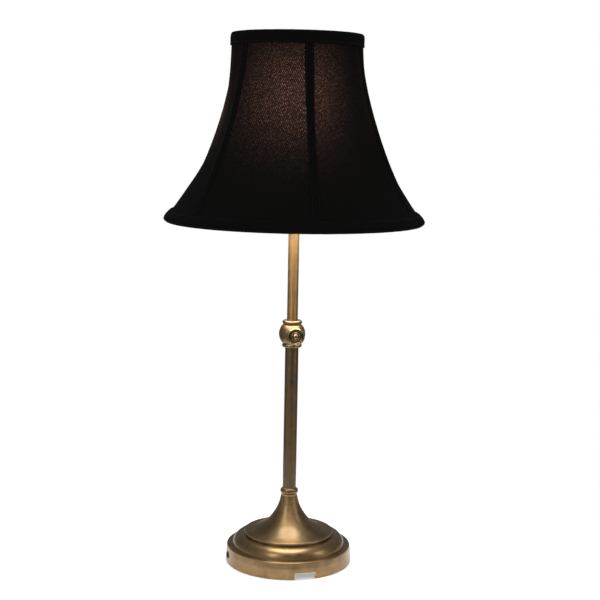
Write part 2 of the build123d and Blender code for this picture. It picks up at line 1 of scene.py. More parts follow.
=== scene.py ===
"""Table lamp: telescoping brass column, spun base and bell shade, dressed round its frame."""

import json
import math

import bmesh
import bpy
from bpy.props import FloatProperty, FloatVectorProperty, IntProperty, PointerProperty
from mathutils import Matrix, Vector, noise
from mathutils.bvhtree import BVHTree


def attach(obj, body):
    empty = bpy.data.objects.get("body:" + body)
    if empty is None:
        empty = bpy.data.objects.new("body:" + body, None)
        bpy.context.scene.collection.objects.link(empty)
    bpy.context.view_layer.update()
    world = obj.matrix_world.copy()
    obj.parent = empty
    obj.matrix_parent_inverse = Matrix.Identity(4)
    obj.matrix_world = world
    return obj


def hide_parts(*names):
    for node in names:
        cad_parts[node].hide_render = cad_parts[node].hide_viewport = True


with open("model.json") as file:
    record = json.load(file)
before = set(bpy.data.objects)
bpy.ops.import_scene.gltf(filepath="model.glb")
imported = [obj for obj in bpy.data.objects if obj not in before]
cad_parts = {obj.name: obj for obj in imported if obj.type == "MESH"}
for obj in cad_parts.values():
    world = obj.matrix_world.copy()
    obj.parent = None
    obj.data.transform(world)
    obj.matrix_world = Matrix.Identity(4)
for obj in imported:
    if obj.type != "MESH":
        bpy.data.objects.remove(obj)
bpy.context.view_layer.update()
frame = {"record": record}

bl_info = {
    "name": "Table Lamp Dressing",
    "version": (1, 0, 0),
    "blender": (4, 5, 0),
    "location": "3D View > Sidebar > Lamp",
    "description": "Finishes, cloth and stage for a telescoping brass table lamp",
    "category": "Object",
}

MM = 0.001
FULL_TURN = 2 * math.pi

# ---- the frame's own lines, in millimetres and degrees ----

RIB_START = (75.2, 624.0)
RIB_START_LEAN = 2.5
RIB_ARCS = ((270.0, 13.5), (560.0, 28.5), (130.0, 42.0))
PANELS = 6
HALF_PANEL = math.pi / PANELS
HEAD_TURN = -6.3
KNOB_HEIGHT = 277.5
PANEL_SAG = 0.12
CLOTH_TOP, CLOTH_BOTTOM = 624.6, 412.8
TOP_TRIM_FOOT, BOTTOM_TRIM_HEAD = 611.8, 423.0
TOP_RING, BOTTOM_RING = 622.5, 415.2

# ---- the bulb's light painted into the cloth as a glow: its brightest height, how far it
# spreads, its brightness and the bearing of one of its three patches ----

GLOW_HEIGHT, GLOW_REACH, CLOTH_GLOW, GLOW_TURN = 558.0, 52.0, 0.42, math.radians(-19)


def shade_arcs():
    """The rib line as tangent arcs: centre, radius and the height of each lower end."""
    arcs, (radius, height) = [], RIB_START
    lean = math.radians(RIB_START_LEAN)
    for bend, end in RIB_ARCS:
        centre = (radius + bend * math.cos(lean), height + bend * math.sin(lean))
        lean = math.radians(end)
        radius = centre[0] - bend * math.cos(lean)
        height = centre[1] - bend * math.sin(lean)
        arcs.append((centre, bend, height))
    return arcs


ARCS = shade_arcs()


def rib_lean(height):
    """The lean of the rib line at a height, with the centre and the radius of its arc."""
    for centre, bend, foot in ARCS:
        if height >= foot:
            break
    return math.asin((centre[1] - height) / bend), centre, bend


def off_rib(height, outward=0.0):
    """The point (radius, height) that stands off the rib line at right angles to it."""
    lean, centre, bend = rib_lean(height)
    reach = bend - outward
    return centre[0] - reach * math.cos(lean), centre[1] - reach * math.sin(lean)


def rib_angle(index):
    """Where a rib stands round the axis, or at a half the middle of a panel."""
    return math.radians(HEAD_TURN - 90) + index * 2 * HALF_PANEL


def cloth_point(height, across, inset=0.0):
    """A point of the cloth between the ribs at across -1 and 1, centred on +X, and the way out."""
    lean = rib_lean(height)[0]
    radius = off_rib(height)[0]
    shift = inset / math.cos(lean)
    share = (CLOTH_TOP - height) / (CLOTH_TOP - CLOTH_BOTTOM)
    sag = PANEL_SAG * math.sin(math.pi * min(max(share, 0), 1)) ** 2
    end, middle = radius - shift, radius * (1 - sag) - shift
    reach, half = end * math.cos(HALF_PANEL), end * math.sin(HALF_PANEL)
    centre = (end ** 2 - middle ** 2) / (2 * (reach - middle)) if sag > 1e-6 else 0.0
    bend = middle - centre
    angle = math.atan2(half, reach - centre) * across
    way = Vector((math.cos(angle) * math.cos(lean), math.sin(angle) * math.cos(lean),
                  math.sin(lean)))
    return Vector((centre + bend * math.cos(angle), bend * math.sin(angle), height)), way


def tape_frame(height):
    """The ridge over a rib centred on +X, the way along the cloth beside it, and the way off it."""
    ridge = turned(cloth_point(height, -1)[0], HALF_PANEL)
    run = (turned(cloth_point(height, -0.94)[0], HALF_PANEL) - ridge).normalized()
    off = Vector((run.y, -run.x, 0)).normalized()
    return ridge, run, -off if off.x < 0 else off


def turned(point, angle):
    return Matrix.Rotation(angle, 3, "Z") @ point


def heading(angle, rise=0.0):
    """The way that lies at an angle to the right of the front, raised by another."""
    return Vector((math.sin(angle) * math.cos(rise), -math.cos(angle) * math.cos(rise),
                   math.sin(rise)))


def compass(count):
    """Even ways out all round the axis."""
    angles = (FULL_TURN * i / count for i in range(count))
    return [Vector((math.cos(angle), math.sin(angle), 0)) for angle in angles]


def down(top, foot, steps):
    """Even heights from top to foot, with both."""
    return [top + (foot - top) * i / steps for i in range(steps + 1)]


# ---- making pieces ----

def in_scene(name, data):
    """A new object of the data, linked to the scene."""
    made = bpy.data.objects.new(name, data)
    bpy.context.scene.collection.objects.link(made)
    return made


def finished(name, mesh, finish, uvs=None):
    """A piece of the mesh: faces outwards, smooth, with its cloth coordinates and its finish."""
    work = bmesh.new()
    work.from_mesh(mesh)
    if uvs:
        layer = work.loops.layers.uv.new("Cloth")
        for face in work.faces:
            for loop in face.loops:
                loop[layer].uv = uvs[loop.vert.index]
    bmesh.ops.recalc_face_normals(work, faces=work.faces)
    work.to_mesh(mesh)
    work.free()
    if not mesh.polygons:
        raise RuntimeError(f"{name} came out empty")
    mesh.shade_smooth()
    mesh.materials.clear()
    mesh.materials.append(finish)
    return in_scene(name, mesh)


def mesh_piece(name, points, faces, finish, uvs=None):
    """A piece from points in millimetres, with its place in its mesh."""
    mesh = bpy.data.meshes.new(name)
    mesh.from_pydata([tuple(c * MM for c in p) for p in points], [], faces)
    return finished(name, mesh, finish, uvs)


def ringed(rows, closed_columns):
    """Quads over a grid of rows of points, numbered row by row; the last row meets the first."""
    count, width = len(rows), len(rows[0])
    faces = []
    for i in range(count):
        for j in range(width if closed_columns else width - 1):
            a, b = i * width + j, i * width + (j + 1) % width
            c, d = ((i + 1) % count) * width + (j + 1) % width, ((i + 1) % count) * width + j
            faces.append((a, b, c, d))
    return faces


def lathe_piece(name, profile, finish, steps, shape):
    """A closed profile of (radius, height) turned about Z; shape moves each point."""
    rows = []
    for i in range(steps):
        angle = FULL_TURN * i / steps
        row = []
        for radius, height in profile:
            radius, height = shape(radius, height, angle)
            row.append(Vector((radius * math.cos(angle), radius * math.sin(angle), height)))
        rows.append(row)
    points = [p for row in rows for p in row]
    return mesh_piece(name, points, ringed(rows, True), finish)


def rounded(points, steps):
    """A smooth closed line through corner points, by cutting the corners again and again."""
    line = [Vector(p) for p in points]
    for _ in range(steps):
        cut = []
        for a, b in zip(line, line[1:] + line[:1]):
            cut += [a * 0.75 + b * 0.25, a * 0.25 + b * 0.75]
        line = cut
    return line


def ring_uvs(mesh):
    """Cloth coordinates in metres for a mesh turned about Z: round the ring and up it."""
    layer = mesh.uv_layers.new(name="Cloth")
    for polygon in mesh.polygons:
        places = [mesh.vertices[index].co for index in polygon.vertices]
        angles = [math.atan2(at.y, at.x) for at in places]
        seam = max(angles) - min(angles) > math.pi
        for loop, at, angle in zip(polygon.loop_indices, places, angles):
            if seam and angle < 0:
                angle += FULL_TURN
            layer.data[loop].uv = (angle * 0.1, at.z - math.hypot(at.x, at.y))


def row_tree():
    """Copies of one small bent rod at even steps along guide lines, each turned from its line."""
    tree = bpy.data.node_groups.get("Row of small rods")
    if tree:
        return tree
    tree = bpy.data.node_groups.new("Row of small rods", "GeometryNodeTree")
    tree.interface.new_socket("Geometry", in_out="OUTPUT", socket_type="NodeSocketGeometry")
    kinds = {"Guides": "Geometry", "Step": "Float", "Length": "Float", "Thickness": "Float",
             "Rise": "Float", "Turn": "Float", "Unevenness": "Float", "Seed": "Int",
             "Finish": "Material"}
    for name, kind in kinds.items():
        tree.interface.new_socket(name, in_out="INPUT", socket_type="NodeSocket" + kind)
    given = add(tree, "NodeGroupInput").outputs
    half = add(tree, "Math MULTIPLY", {0: given["Length"], 1: 0.5})
    back = add(tree, "Math MULTIPLY", {0: half, 1: -1.0})
    crest = add(tree, "Math MULTIPLY", {0: given["Rise"], 1: 3.0})
    sunk = add(tree, "Math MULTIPLY", {0: given["Rise"], 1: -1.0})
    line = add(tree, "GeometryNodeCurveQuadraticBezier",
               {"Resolution": 5, "Start": add(tree, "CombineXYZ", {"X": back, "Z": sunk}),
                "Middle": add(tree, "CombineXYZ", {"Z": crest}),
                "End": add(tree, "CombineXYZ", {"X": half, "Z": sunk})})
    radius = add(tree, "Math MULTIPLY", {0: given["Thickness"], 1: 0.5})
    round_section = add(tree, "GeometryNodeCurvePrimitiveCircle",
                        {"Resolution": 6, "Radius": radius}, mode="RADIUS")
    rod = add(tree, "GeometryNodeCurveToMesh",
              {"Curve": line, "Profile Curve": round_section, "Fill Caps": True})
    guides = add(tree, "GeometryNodeMeshToCurve", {"Mesh": given["Guides"]})
    places = add(tree, "GeometryNodeResampleCurve", {"Curve": guides, "Length": given["Step"]},
                 mode="LENGTH")
    along = add(tree, "FunctionNodeAlignRotationToVector",
                {"Vector": add(tree, "GeometryNodeInputTangent")}, axis="X")
    out = add(tree, "GeometryNodeInputNamedAttribute", {"Name": "out"}, data_type="FLOAT_VECTOR")
    upright = add(tree, "FunctionNodeAlignRotationToVector", {"Rotation": along, "Vector": out},
                  axis="Z", pivot_axis="X")
    least = add(tree, "Math MULTIPLY", {0: given["Unevenness"], 1: -1.0})
    lean = add(tree, "FunctionNodeRandomValue",
               {2: least, 3: given["Unevenness"], "Seed": given["Seed"]}, data_type="FLOAT")
    size = add(tree, "Math ADD", {0: lean, 1: 1.0})
    angle = add(tree, "Math ADD", {0: lean, 1: given["Turn"]})
    swing = add(tree, "FunctionNodeAxisAngleToRotation", {"Angle": angle})
    turn = add(tree, "FunctionNodeRotateRotation", {"Rotation": upright, "Rotate By": swing},
               rotation_space="LOCAL")
    copies = add(tree, "GeometryNodeInstanceOnPoints",
                 {"Points": places, "Instance": rod, "Rotation": turn, "Scale": size})
    real = add(tree, "GeometryNodeRealizeInstances", {"Geometry": copies})
    done = add(tree, "GeometryNodeSetMaterial", {"Geometry": real, "Material": given["Finish"]})
    add(tree, "NodeGroupOutput", {0: done})
    return tree


def row_piece(name, guides, finish, seed, **sizes):
    """A piece of small rods along guides, each a list of (place, way out) in metres and whether it
    closes; the rods' sizes are in millimetres, their turn in radians."""
    mesh = bpy.data.meshes.new(name + "_guides")
    points, edges, outs = [], [], []
    for line, closed in guides:
        start = len(points)
        points += [place for place, _ in line]
        outs += [way for _, way in line]
        edges += [(start + i, start + i + 1) for i in range(len(line) - 1)]
        if closed:
            edges.append((len(points) - 1, start))
    mesh.from_pydata(points, edges, [])
    attribute = mesh.attributes.new("out", "FLOAT_VECTOR", "POINT")
    attribute.data.foreach_set("vector", [c for way in outs for c in way])
    holder = in_scene(name + "_guides", mesh)
    tree = row_tree()
    modifier = holder.modifiers.new("Row", "NODES")
    modifier.node_group = tree
    values = {key: value if key in ("Turn", "Unevenness") else value * MM
              for key, value in sizes.items()}
    values.update(Seed=seed, Finish=finish)
    for item in tree.interface.items_tree:
        if item.in_out == "INPUT" and item.name in values:
            modifier[item.identifier] = values[item.name]
    ready = holder.evaluated_get(bpy.context.evaluated_depsgraph_get())
    made = bpy.data.meshes.new_from_object(ready)
    made.name = name
    holder.modifiers.remove(modifier)
    bpy.data.objects.remove(holder)
    if "out" in made.attributes:
        made.attributes.remove(made.attributes["out"])
    return finished(name, made, finish)


def skin(*names):
    """A tree that finds where a ray meets the named pieces."""
    points, faces = [], []
    for name in names:
        mesh, start = bpy.data.objects[name].data, len(points)
        points += [v.co.copy() for v in mesh.vertices]
        faces += [[start + i for i in p.vertices] for p in mesh.polygons]
    return BVHTree.FromPolygons(points, faces)


def land(surface, places, ways):
    """Where each place, seen along its way in metres, meets the surface, with the way back out."""
    line = []
    for place, way in zip(places, ways):
        at, normal, _, _ = surface.ray_cast(place, way)
        if at is not None:
            line.append((at, normal if normal.dot(way) < 0 else -normal))
    if len(line) < 0.9 * len(places):
        raise RuntimeError("a guide line misses its surface")
    return line


# ---- materials ----

CHOICES = {"Math": "operation", "VectorMath": "operation", "Mix": "data_type",
           "MapRange": "interpolation_type", "TexNoise": "noise_dimensions"}


def linear(code):
    """The linear colour of an sRGB hex value."""
    parts = [int(code[i:i + 2], 16) / 255 for i in (1, 3, 5)]
    return tuple(c / 12.92 if c <= 0.04045 else ((c + 0.055) / 1.055) ** 2.4
                 for c in parts) + (1.0,)


def add(tree, kind, inputs=None, **settings):
    """Add a node, set its properties, then its sockets to values or to other nodes' outputs. A
    shader node's kind is written without its prefix, and may be followed by its main choice."""
    kind, _, choice = kind.partition(" ")
    if choice:
        settings[CHOICES[kind]] = choice
    groups = ("Geometry", "Function", "NodeGroup")
    node = tree.nodes.new(kind if kind.startswith(groups) else "ShaderNode" + kind)
    for key, value in settings.items():
        setattr(node, key, value)
    for key, value in (inputs or {}).items():
        socket = node.inputs[key]
        if isinstance(value, bpy.types.Node):
            value = next(output for output in value.outputs if output.enabled)
        if isinstance(value, bpy.types.NodeSocket):
            tree.links.new(value, socket)
        else:
            socket.default_value = value
    return node


def material(name):
    """An empty material and its tree, or the finished one of that name and None."""
    made = bpy.data.materials.get(name)
    if made:
        return made, None
    made = bpy.data.materials.new(name)
    made.use_nodes = True
    made.node_tree.nodes.clear()
    return made, made.node_tree


def surfaced(made, sockets):
    """The material with its shader's sockets filled."""
    tree = made.node_tree
    add(tree, "OutputMaterial", {"Surface": add(tree, "BsdfPrincipled", sockets)})
    return made


def facing(tree, place, bearing):
    """How squarely a place round the axis lies at a bearing: 1 there and -1 opposite."""
    flat = add(tree, "VectorMath MULTIPLY", {0: place, 1: (1, 1, 0)})
    way = add(tree, "VectorMath NORMALIZE", {0: flat})
    return add(tree, "VectorMath DOT_PRODUCT", {0: way, 1: heading(bearing)})


def dress(node, finish):
    """Give a frame solid its finish."""
    obj = bpy.data.objects[node]
    obj.data.materials.clear()
    obj.data.materials.append(finish)
    for polygon in obj.data.polygons:
        polygon.material_index = 0


# ---- settings that a user would change ----

def length_setting(name, description, default):
    return FloatProperty(name=name, description=description, default=default, unit="LENGTH")


def angle_setting(name, description, degrees):
    return FloatProperty(name=name, description=description, default=math.radians(degrees),
                         subtype="ANGLE", unit="ROTATION")


def colour_setting(name, description, code):
    return FloatVectorProperty(name=name, description=description, subtype="COLOR", size=4,
                               default=linear(code))


class LampShadeSettings(bpy.types.PropertyGroup):
    cloth: length_setting("Cloth", "Thickness of the outer cloth with its backing", 0.0009)
    lining: length_setting("Lining", "Thickness of the lining", 0.0005)
    tape_width: length_setting("Tape width", "Width of the tape over each rib", 0.0105)
    tape: length_setting("Tape", "Thickness of the folded tape", 0.0007)
    stitch: length_setting("Stitch", "Distance from one stitch to the next", 0.0034)
    cloth_colour: colour_setting("Cloth colour", "Colour of the black twill", "#0B0C0A")
    lining_colour: colour_setting("Lining colour", "Colour of the satin lining", "#EFE3CB")
    seed: IntProperty(name="Seed", description="Seed of the small unevenness of hand work",
                      default=7)


class LampMetalSettings(bpy.types.PropertyGroup):
    brass: colour_setting("Brass", "Colour of the antique brass", "#A4865B")
    patina: colour_setting("Patina", "Colour of the browned brass", "#866C48")
    dark_patina: colour_setting("Dark patina", "Colour of the oldest brown", "#6E6046")
    bright_brass: colour_setting("Bright brass", "Colour of lacquered brass", "#C9A25E")


class LampStageSettings(bpy.types.PropertyGroup):
    place: FloatVectorProperty(name="Camera place", description="Where the camera stands",
                               subtype="TRANSLATION", size=3, default=(-0.4179, -1.4292, 0.532))
    lens: FloatProperty(name="Lens", description="Focal length on a 36 mm wide sensor",
                        default=76.4, unit="CAMERA")
    pitch: angle_setting("Pitch", "How far the camera looks down", 8.19)
    yaw: angle_setting("Yaw", "How far the camera looks to the axis' right", 0.33)
    roll: angle_setting("Roll", "How far the camera is tipped", 1.12)
    sky: FloatProperty(name="Sky", description="Brightness of the soft light from all round",
                       default=0.62)
    softbox: FloatProperty(name="Softboxes", description="Power of each softbox",
                           default=2.6, unit="POWER")
    glow: FloatProperty(name="Glow", description="Brightness of the lit bulb's glass", default=4.5)
    pool: FloatProperty(name="Pool", description="Power of the light below the open shade",
                        default=1.25, unit="POWER")


# ---- finishes ----

def brass_finish(name, base, patina, roughness, smear, line=0.35, depth=0.12, centre=None,
                 wear_and_highlight=0.9, groove=(1.2, 0.1, 0.6)):
    """Antique brass under clear lacquer, polished round its axis: fine rings, line millimetres
    apart, that smear a highlight across them, and a faint clear gleam from the lacquer above the
    brown. Groove says within how many millimetres walls shelter a place, and how open it is where
    it is all dark brown and where it is bare brass: that dark brown is patina in the hollows, and
    it also paints shade there. The wear setting says how bright the edges are rubbed, and that pale
    colour also paints a highlight along them."""
    made, tree = material(name)
    if not tree:
        return made
    place = add(tree, "TexCoord").outputs["Object"]
    if centre:
        place = add(tree, "Mapping",
                    {"Vector": place, "Location": centre[0], "Rotation": centre[1]},
                    vector_type="TEXTURE")
    split = add(tree, "SeparateXYZ", {"Vector": place}).outputs
    flat = add(tree, "CombineXYZ", {"X": split["X"], "Y": split["Y"]})
    radius = add(tree, "VectorMath LENGTH", {0: flat})
    # lathe lines are about 0.1 mm apart; these are drawn three times as coarse so that they show
    rings = add(tree, "TexNoise",
                {"Vector": add(tree, "CombineXYZ", {"X": radius, "Z": split["Z"]}),
                 "Scale": 1 / (line * MM), "Detail": 3.0, "Roughness": 0.6})
    # tarnish spreads in patches a centimetre or two across
    stain = add(tree, "TexNoise",
                {"Vector": place, "Scale": 55.0, "Detail": 5.0, "Roughness": 0.62})
    blend = add(tree, "MapRange", {"Value": stain, "From Min": 0.38, "From Max": 0.66})
    tone = add(tree, "Mix RGBA", {"Factor": blend, "A": base, "B": patina})
    # brown stays in the grooves, where no polishing cloth reaches; this darkening by how sheltered
    # a place is also paints shade into the hollows
    hollow = add(tree, "AmbientOcclusion", {"Distance": groove[0] * MM}, samples=8)
    clean_and_unshaded = add(tree, "MapRange SMOOTHSTEP",
                {"Value": hollow.outputs["AO"], "From Min": groove[1], "From Max": groove[2]})
    tone = add(tree, "Mix RGBA", {"Factor": clean_and_unshaded, "A": linear("#463A28"), "B": tone})
    # and handling keeps the sharpest edges bright; the pale rubbed colour there is also a painted
    # highlight
    edge = add(tree, "AmbientOcclusion", {"Distance": 1.0 * MM}, samples=8, inside=True)
    worn_and_highlit = add(tree, "MapRange SMOOTHSTEP",
               {"Value": edge.outputs["AO"], "From Min": 0.97, "From Max": 0.66, "To Max": wear_and_highlight})
    tone = add(tree, "Mix RGBA", {"Factor": worn_and_highlit, "A": tone, "B": linear("#E6CC9A")})
    rough = add(tree, "MapRange",
                {"Value": rings, "From Min": 0.3, "From Max": 0.7, "To Min": roughness - 0.05,
                 "To Max": roughness + 0.06})
    rough = add(tree, "Math MULTIPLY_ADD", {0: worn_and_highlit, 1: -0.14, 2: rough})
    bump = add(tree, "Bump", {"Height": rings, "Strength": depth, "Distance": 0.05 * MM})
    sockets = {"Base Color": tone, "Metallic": 1.0, "Roughness": rough, "Normal": bump,
               "Coat Weight": 0.6, "Coat Roughness": 0.22}
    if smear:
        round_axis = add(tree, "Tangent", direction_type="RADIAL", axis="Z")
        sockets.update({"Anisotropic": smear, "Anisotropic Rotation": 0.25,
                        "Tangent": round_axis})
    return surfaced(made, sockets)


def brasses(metal):
    """The brass finishes, each under the name of its solid, or of its slot."""
    brass, patina, dark, bright = (tuple(metal.brass), tuple(metal.patina),
                                   tuple(metal.dark_patina), tuple(metal.bright_brass))
    knob_axis = ((0, 0, KNOB_HEIGHT * MM), (math.radians(90), 0, math.radians(HEAD_TURN)))
    return {
        # spun over a form and brushed: one broad soft highlight down the flare
        "trumpet": brass_finish("Spun antique brass", brass, patina, 0.47, 0.8, wear_and_highlight=1.0),
        # spun, then buffed: what it mirrors keeps some of its shape
        "base_shell": brass_finish("Polished antique brass", brass, patina, 0.36, 0.5),
        # drawn tube, painted a paler, warmer brass that stands for the lamp's warm light on it,
        # with long upright gleams
        "upper_rod": brass_finish("Polished brass tube", linear("#BC9059"), brass, 0.36, 0.75,
                                  line=0.5),
        # drawn tube painted in the darker browns as shade, below the lit rod, with the same upright
        # gleams
        "lower_tube": brass_finish("Shade-darkened brass tube", patina, dark, 0.33, 0.7, line=0.5),
        # turned about its own axis: its whole dish painted dark brown as shade, bright on its rim
        # and its dome
        "clamp_knob": brass_finish("Turned brass knob", brass, patina, 0.28, 0, line=0.4,
                                   groove=(5.0, 0.6, 0.95), centre=knob_axis),
        # turned beads, collars and ball: small round highlights between grooves kept brown, patina
        # that also paints their shade
        "antique_brass": brass_finish("Turned antique brass", brass, patina, 0.36, 0, line=0.4,
                                      wear_and_highlight=0.7),
        # new brass under hard lacquer: yellow, with a clear reflection
        "bright_brass": brass_finish("Lacquered brass", bright, brass, 0.22, 0, 0.5, 0.06),
    }


# slot: name, the two colours that it wavers between, metallic, roughness, the size of its grain in
# millimetres and how strongly the grain shows
PLAIN_FINISHES = {
    # zinc plate: cold and bright, with a fine crystal grain
    "steel": ("Zinc plated steel", "#B9BDBF", "#A6ABAE", 1.0, 0.3, 0.2, 0.15),
    # galvanised wire: warmer and duller than plate
    "frame_wire": ("Galvanised frame wire", "#C4C2BA", "#A9A79E", 1.0, 0.38, 0.25, 0.15),
    # sand casting: dark, coarse and only half a metal to the eye
    "iron": ("Cast iron", "#3B3A38", "#4A4541", 0.6, 0.62, 0.8, 0.6),
    # felt: no highlight at all, a deep nap
    "felt": ("Green baize felt", "#2E4A35", "#26402D", 0.0, 0.95, 0.5, 0.9),
    # moulded rubber: a grey, blurred highlight
    "black_rubber": ("Black rubber", "#17171A", "#1E1E20", 0.0, 0.55, 0.5, 0.2),
    # undyed nylon: cream, with a soft waxy highlight
    "nylon": ("Natural nylon", "#E8E2D2", "#DED7C4", 0.0, 0.42, 0.6, 0.1),
    # pressed phenolic: near black brown with a hard gloss
    "phenolic": ("Brown phenolic", "#2A1D16", "#352419", 0.0, 0.35, 0.5, 0.1),
    # fibre paper: grey, dry and faintly rough
    "fibre": ("Vulcanised fibre", "#8E8A80", "#7C776B", 0.0, 0.8, 0.4, 0.4),
    # pressed sheet: paler than the zinc, smooth
    "aluminium": ("Pressed aluminium", "#D3D4D6", "#C4C6C9", 1.0, 0.32, 0.3, 0.1),
    # fused glass: black with sharp glints
    "black_glass": ("Black glass", "#0D0D10", "#111114", 0.0, 0.08, 0.5, 0.02),
    # drawn glass stem: pale green grey with sharp glints
    "stem_glass": ("Stem glass", "#D9E0DF", "#CBD4D2", 0.0, 0.1, 0.5, 0.02),
    # drawn wire: a dark grey metal
    "tungsten": ("Drawn tungsten", "#8F8B86", "#77736F", 1.0, 0.4, 0.2, 0.1),
}


def plain_finish(name, one, other, metallic, roughness, grain, depth):
    """A metal, plastic or rubber with the fine grain of how it was made."""
    made, tree = material(name)
    if not tree:
        return made
    place = add(tree, "TexCoord").outputs["Object"]
    fine = add(tree, "TexNoise",
               {"Vector": place, "Scale": 1 / (grain * MM), "Detail": 4.0, "Roughness": 0.6})
    broad = add(tree, "TexNoise", {"Vector": place, "Scale": 90.0, "Detail": 3.0})
    tone = add(tree, "Mix RGBA", {"Factor": broad, "A": linear(one), "B": linear(other)})
    rough = add(tree, "MapRange",
                {"Value": fine, "From Min": 0.3, "From Max": 0.7, "To Min": roughness - 0.05,
                 "To Max": roughness + 0.05})
    bump = add(tree, "Bump", {"Height": fine, "Strength": depth, "Distance": 0.1 * MM})
    return surfaced(made, {"Base Color": tone, "Metallic": metallic, "Roughness": rough,
                           "Normal": bump})


def woven(tree, place, slope, pitch, cross, fleck, tones, relief):
    """A cloth's colour and bump: ribs that lean by slope, pitch millimetres apart, and the threads
    that cross them. Fleck is the noise's scale and detail, relief the bump's strength and
    millimetres."""
    along = add(tree, "SeparateXYZ", {"Vector": place}).outputs
    tilt = add(tree, "Math MULTIPLY_ADD", {0: along["Y"], 1: slope, 2: along["X"]})
    waves = []
    for value, step in ((tilt, pitch), (along["Y"], cross)):
        turns = add(tree, "Math MULTIPLY", {0: value, 1: FULL_TURN / (step * MM)})
        waves.append(add(tree, "Math SINE", {0: turns}))
    weave = add(tree, "Math MULTIPLY_ADD", {0: waves[1], 1: 0.35, 2: waves[0]})
    patchy = add(tree, "TexNoise", {"Vector": place, "Scale": fleck[0], "Detail": fleck[1]})
    tone = add(tree, "Mix RGBA", {"Factor": patchy, "A": tones[0], "B": tones[1]})
    bump = add(tree, "Bump", {"Height": weave, "Strength": relief[0], "Distance": relief[1] * MM})
    return tone, bump


def twill_finish(cloth_colour):
    """Black shade cloth: a matt diagonal weave, with the lamp's light through its pinholes painted
    on as a glow.
    """
    made, tree = material("Black twill")
    if not tree:
        return made
    coords = add(tree, "TexCoord").outputs
    # the real twill is 0.6 mm; drawn at 1.7 mm so that it shows
    tone, bump = woven(tree, coords["UV"], 0.6, 1.7, 1.1, (700.0, 3.0),
                       (linear("#070806"), cloth_colour), (0.5, 0.2))
    # painted light where the weave is open: short dashes in rows along the twill, in millimetres
    lean, row_step, dash_width, dash_length = math.radians(30), 2.1, 1.0, 1.9
    across_rows = (math.cos(lean), math.sin(lean), 0)
    row = add(tree, "VectorMath DOT_PRODUCT", {0: coords["UV"], 1: across_rows})
    turns = add(tree, "Math MULTIPLY", {0: row, 1: FULL_TURN / (row_step * MM)})
    wave = add(tree, "Math SINE", {0: turns})
    open_row = add(tree, "MapRange SMOOTHSTEP", {"Value": wave, "From Min": -0.5, "From Max": 0.9})
    along = add(tree, "Mapping",
                {"Vector": coords["UV"], "Rotation": (0, 0, lean),
                 "Scale": (1 / (dash_width * MM), 1 / (dash_length * MM), 1.0)})
    gaps = add(tree, "TexNoise 2D", {"Vector": along, "Scale": 1.0, "Detail": 1.0})
    dash = add(tree, "MapRange SMOOTHSTEP", {"Value": gaps, "From Min": 0.48, "From Max": 0.74})
    spark = add(tree, "Math MULTIPLY", {0: open_row, 1: dash})
    # the glow is strongest a little above the bulb's middle and fades up and down
    height = add(tree, "SeparateXYZ", {"Vector": coords["Object"]}).outputs["Z"]
    level = add(tree, "Math MULTIPLY_ADD",
                {0: height, 1: 1 / (GLOW_REACH * MM), 2: -GLOW_HEIGHT / GLOW_REACH})
    fall = add(tree, "Math MULTIPLY", {0: level, 1: level})
    drop = add(tree, "Math MULTIPLY", {0: fall, 1: -1.0})
    fade = add(tree, "Math EXPONENT", {0: drop})
    # and in three broad patches round the shade: 4c^3 - 3c is the cosine of three times an angle
    front = facing(tree, coords["Object"], GLOW_TURN)
    square = add(tree, "Math MULTIPLY", {0: front, 1: front})
    part = add(tree, "Math MULTIPLY_ADD", {0: square, 1: 4.0, 2: -3.0})
    patches = add(tree, "Math MULTIPLY", {0: part, 1: front})
    share = add(tree, "MapRange",
                {"Value": patches, "From Min": -1.0, "From Max": 1.0, "To Min": 0.05})
    strength = add(tree, "Math MULTIPLY", {0: fade, 1: share})
    haze = add(tree, "Math ADD", {0: spark, 1: 0.075})
    light = add(tree, "Math MULTIPLY", {0: haze, 1: strength})
    shine = add(tree, "Math MULTIPLY", {0: light, 1: CLOTH_GLOW})
    warmth = add(tree, "Mix RGBA",
                 {"Factor": spark, "A": linear("#D69690"), "B": linear("#E09E6C")})
    return surfaced(made, {"Base Color": tone, "Roughness": 0.95, "Specular IOR Level": 0.1,
                           "Normal": bump, "Emission Color": warmth, "Emission Strength": shine})


def tape_finish():
    """Black bias tape: a fine cross rib with a dull face, darker than the cloth beside it."""
    made, tree = material("Black bias tape")
    if not tree:
        return made
    # the real rib is 0.5 mm; drawn at 1.3 mm so that it shows
    tone, bump = woven(tree, add(tree, "TexCoord").outputs["UV"], 1.0, 1.3, 1.3, (900.0, 3.0),
                       (linear("#040404"), linear("#090908")), (0.45, 0.15))
    return surfaced(made, {"Base Color": tone, "Roughness": 0.92, "Specular IOR Level": 0.12,
                           "Normal": bump})


def satin_finish(satin_colour):
    """Champagne satin lining: smooth threads along the drop that shine softly round the bulb."""
    made, tree = material("Champagne satin")
    if not tree:
        return made
    darker = tuple(c * 0.86 for c in satin_colour[:3]) + (1.0,)
    # the real threads are 0.2 mm; drawn at 0.9 mm so that they show
    tone, bump = woven(tree, add(tree, "TexCoord").outputs["UV"], 0.15, 0.9, 2.4, (350.0, 4.0),
                       (darker, satin_colour), (0.3, 0.1))
    return surfaced(made, {"Base Color": tone, "Roughness": 0.5, "Sheen Weight": 0.3,
                           "Sheen Roughness": 0.4, "Normal": bump})


